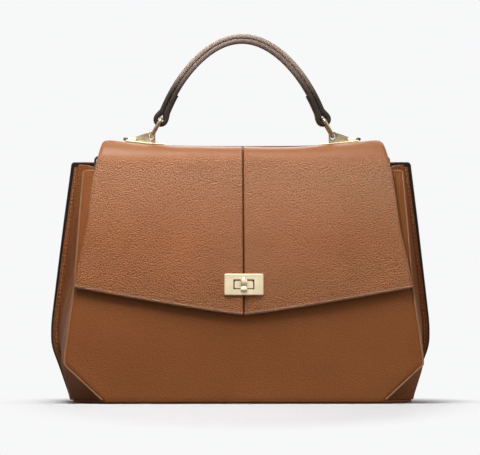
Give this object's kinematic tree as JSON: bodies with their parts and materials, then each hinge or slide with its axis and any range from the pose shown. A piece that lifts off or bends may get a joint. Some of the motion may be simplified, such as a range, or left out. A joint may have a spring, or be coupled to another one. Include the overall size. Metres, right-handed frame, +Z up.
{
  "type": "top-handle bag",
  "caption": "Structured tan leather top-handle bag with folded sides, a seamed fold-over flap, a turn lock and an arched handle on wire rings.",
  "frame": {"origin": "centre of the base panel's underside", "axes": "+Z up, -Y out of the front panel and flap, +X to the right seen from the front"},
  "size_m": [0.3332, 0.1184, 0.321],
  "materials": {
    "tan_leather": "pebbled, semi-matt",
    "edged_leather": "pebbled faces with dark painted edges",
    "lining_cloth": "fine twill",
    "stiffener_board": "plain fibre board",
    "pale_gold": "pale plated, softly polished"
  },
  "bodies": {
    "bag": {"front_panel": "tan_leather", "back_panel": "tan_leather", "gusset_left": "tan_leather", "gusset_right": "tan_leather", "base_panel": "tan_leather", "base_board": "stiffener_board", "lining": "lining_cloth", "lock_base": "pale_gold", "lock_washer": "pale_gold", "side_tab_left": "edged_leather", "side_tab_right": "edged_leather"},
    "flap": {"flap_left": "tan_leather", "flap_right": "tan_leather", "flap_lining": "lining_cloth", "lock_plate": "pale_gold", "lock_back_frame": "pale_gold", "bracket_left": "pale_gold", "bracket_right": "pale_gold", "bracket_backing_left": "pale_gold", "bracket_backing_right": "pale_gold"},
    "handle": {"handle_strap": "edged_leather", "handle_inner_strip": "edged_leather"},
    "ring_left": {"handle_ring_left": "pale_gold"},
    "ring_right": {"handle_ring_right": "pale_gold"},
    "knob": {"turn_knob": "pale_gold"},
    "side_ring_left": {"side_ring_left": "pale_gold"},
    "side_ring_right": {"side_ring_right": "pale_gold"}
  },
  "joints": [
    {"name": "flap_opens", "type": "hinge", "parent": "bag", "child": "flap", "pos_m": [0, 0.0303, 0.2197], "axis": [-1, 0, 0], "range_deg": [0, 110]},
    {"name": "handle_swings", "type": "hinge", "parent": "flap", "child": "handle", "pos_m": [0, 0, 0.2315], "axis": [1, 0, 0], "range_deg": [-45, 45]},
    {"name": "ring_left_swings", "type": "hinge", "parent": "flap", "child": "ring_left", "pos_m": [-0.0792, 0, 0.2315], "axis": [1, 0, 0], "range_deg": [-45, 45]},
    {"name": "ring_right_swings", "type": "hinge", "parent": "flap", "child": "ring_right", "pos_m": [0.0792, 0, 0.2315], "axis": [1, 0, 0], "range_deg": [-45, 45]},
    {"name": "knob_turns", "type": "hinge", "parent": "bag", "child": "knob", "pos_m": [0, -0.0479, 0.1017], "axis": [0, -0.9905, 0.1373], "range_deg": [0, 90]},
    {"name": "side_ring_left_swings", "type": "hinge", "parent": "bag", "child": "side_ring_left", "pos_m": [-0.12515, 0, 0.2105], "axis": [0, 1, 0], "range_deg": [0, 110]},
    {"name": "side_ring_right_swings", "type": "hinge", "parent": "bag", "child": "side_ring_right", "pos_m": [0.12515, 0, 0.2105], "axis": [0, -1, 0], "range_deg": [0, 110]}
  ],
  "couplings": [
    {"joint": "ring_left_swings", "follows": "handle_swings", "ratio": 1},
    {"joint": "ring_right_swings", "follows": "handle_swings", "ratio": 1}
  ]
}
